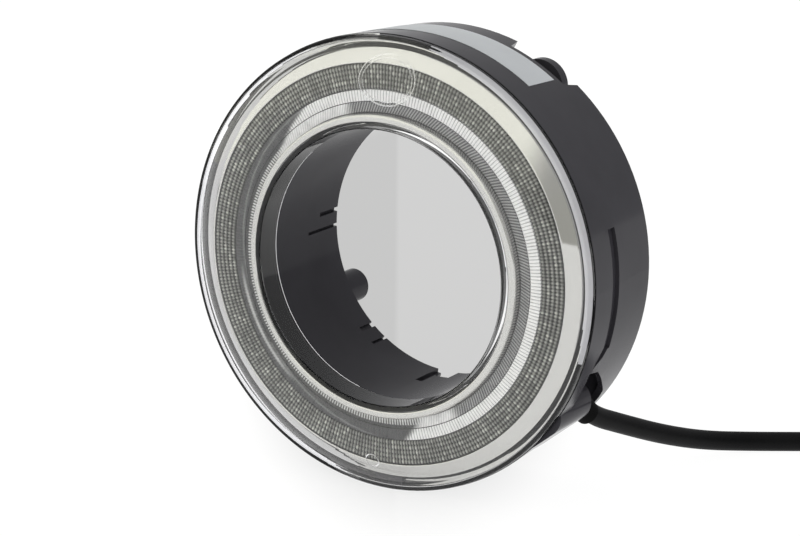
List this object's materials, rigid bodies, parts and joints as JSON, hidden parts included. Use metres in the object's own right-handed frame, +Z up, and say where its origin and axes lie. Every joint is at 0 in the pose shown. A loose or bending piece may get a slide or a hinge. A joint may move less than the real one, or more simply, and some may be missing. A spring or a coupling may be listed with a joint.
{
  "type": "ring-shaped vehicle signal lamp",
  "caption": "Ring-shaped vehicle front lamp with a clear domed lens, bright trim and fluted optics round an open centre, rear mounting bosses and a coiled lead with a sealed plug.",
  "frame": {"origin": "on the lamp's axis, in the plane of the three rear mounting faces", "axes": "+Y along the lamp's axis from the lens towards the rear, so that light leaves towards -Y; +Z up; +X to the right as seen from the front"},
  "size_m": [0.2849, 0.1469, 0.1527],
  "materials": {
    "housing_black": "glossy injection-moulded",
    "clear_lens": "clear polished plastic",
    "seal": "matt",
    "bright_trim": "vacuum metallised, mirror bright",
    "bright_reflector": "vacuum metallised",
    "clear_optic": "clear moulded with fine facets",
    "carrier_white": "white diffuse",
    "board": "white solder mask",
    "led_white": "phosphor face",
    "led_amber": "phosphor face",
    "chip_black": "moulded epoxy",
    "inductor_grey": "ferrite",
    "capacitor": "ceramic",
    "header_white": "moulded",
    "lead_sleeve": "satin insulation",
    "thermal_grey": "matt silicone",
    "sink_aluminium": "turned",
    "screw_steel": "zinc plated",
    "insert_brass": "turned",
    "membrane": "woven membrane",
    "vent_grey": "moulded",
    "label_silver": "printed foil, satin",
    "cable_black": "matt jacket",
    "tie_black": "nylon",
    "plug_black": "moulded",
    "lock_red": "moulded",
    "holder_grey": "moulded",
    "terminal_tin": "tin plated",
    "seal_orange": "silicone"
  },
  "bodies": {
    "lamp": {"housing": "housing_black", "outer_lens": "clear_lens", "outer_lens_seal": "seal", "inner_lens_seal": "seal", "outer_bezel": "bright_trim", "inner_bezel": "bright_trim", "pillow_optic": "clear_optic", "light_guide": "clear_optic", "guide_carrier": "carrier_white", "led_cup_reflector": "bright_reflector", "circuit_board": "board", "daytime_leds": "led_white", "indicator_leds": "led_amber", "position_leds": "led_white", "driver_chips": "chip_black", "power_inductors": "inductor_grey", "board_capacitors": "capacitor", "board_resistors": "chip_black", "board_header": "header_white", "inner_leads": "lead_sleeve", "thermal_pad": "thermal_grey", "heat_sink": "sink_aluminium", "board_screws": "screw_steel", "threaded_inserts": "insert_brass", "vent_membrane": "membrane", "vent_cap": "vent_grey", "type_label": "label_silver", "cable_grommet": "seal", "strain_relief": "cable_black", "cable": "cable_black", "cable_coil": "cable_black", "cable_tail": "cable_black", "coil_ties": "tie_black", "plug_shell": "plug_black", "terminal_holder": "holder_grey", "plug_terminals": "terminal_tin", "mouth_seal": "seal_orange", "wire_seal": "seal_orange", "plug_boot": "plug_black"},
    "plug_lock_slide": {"plug_lock": "lock_red"}
  },
  "joints": [
    {"name": "plug_lock_travel", "type": "slide", "parent": "lamp", "child": "plug_lock_slide", "axis": [0, 1, 0], "range_m": [0, 0.0035]}
  ]
}
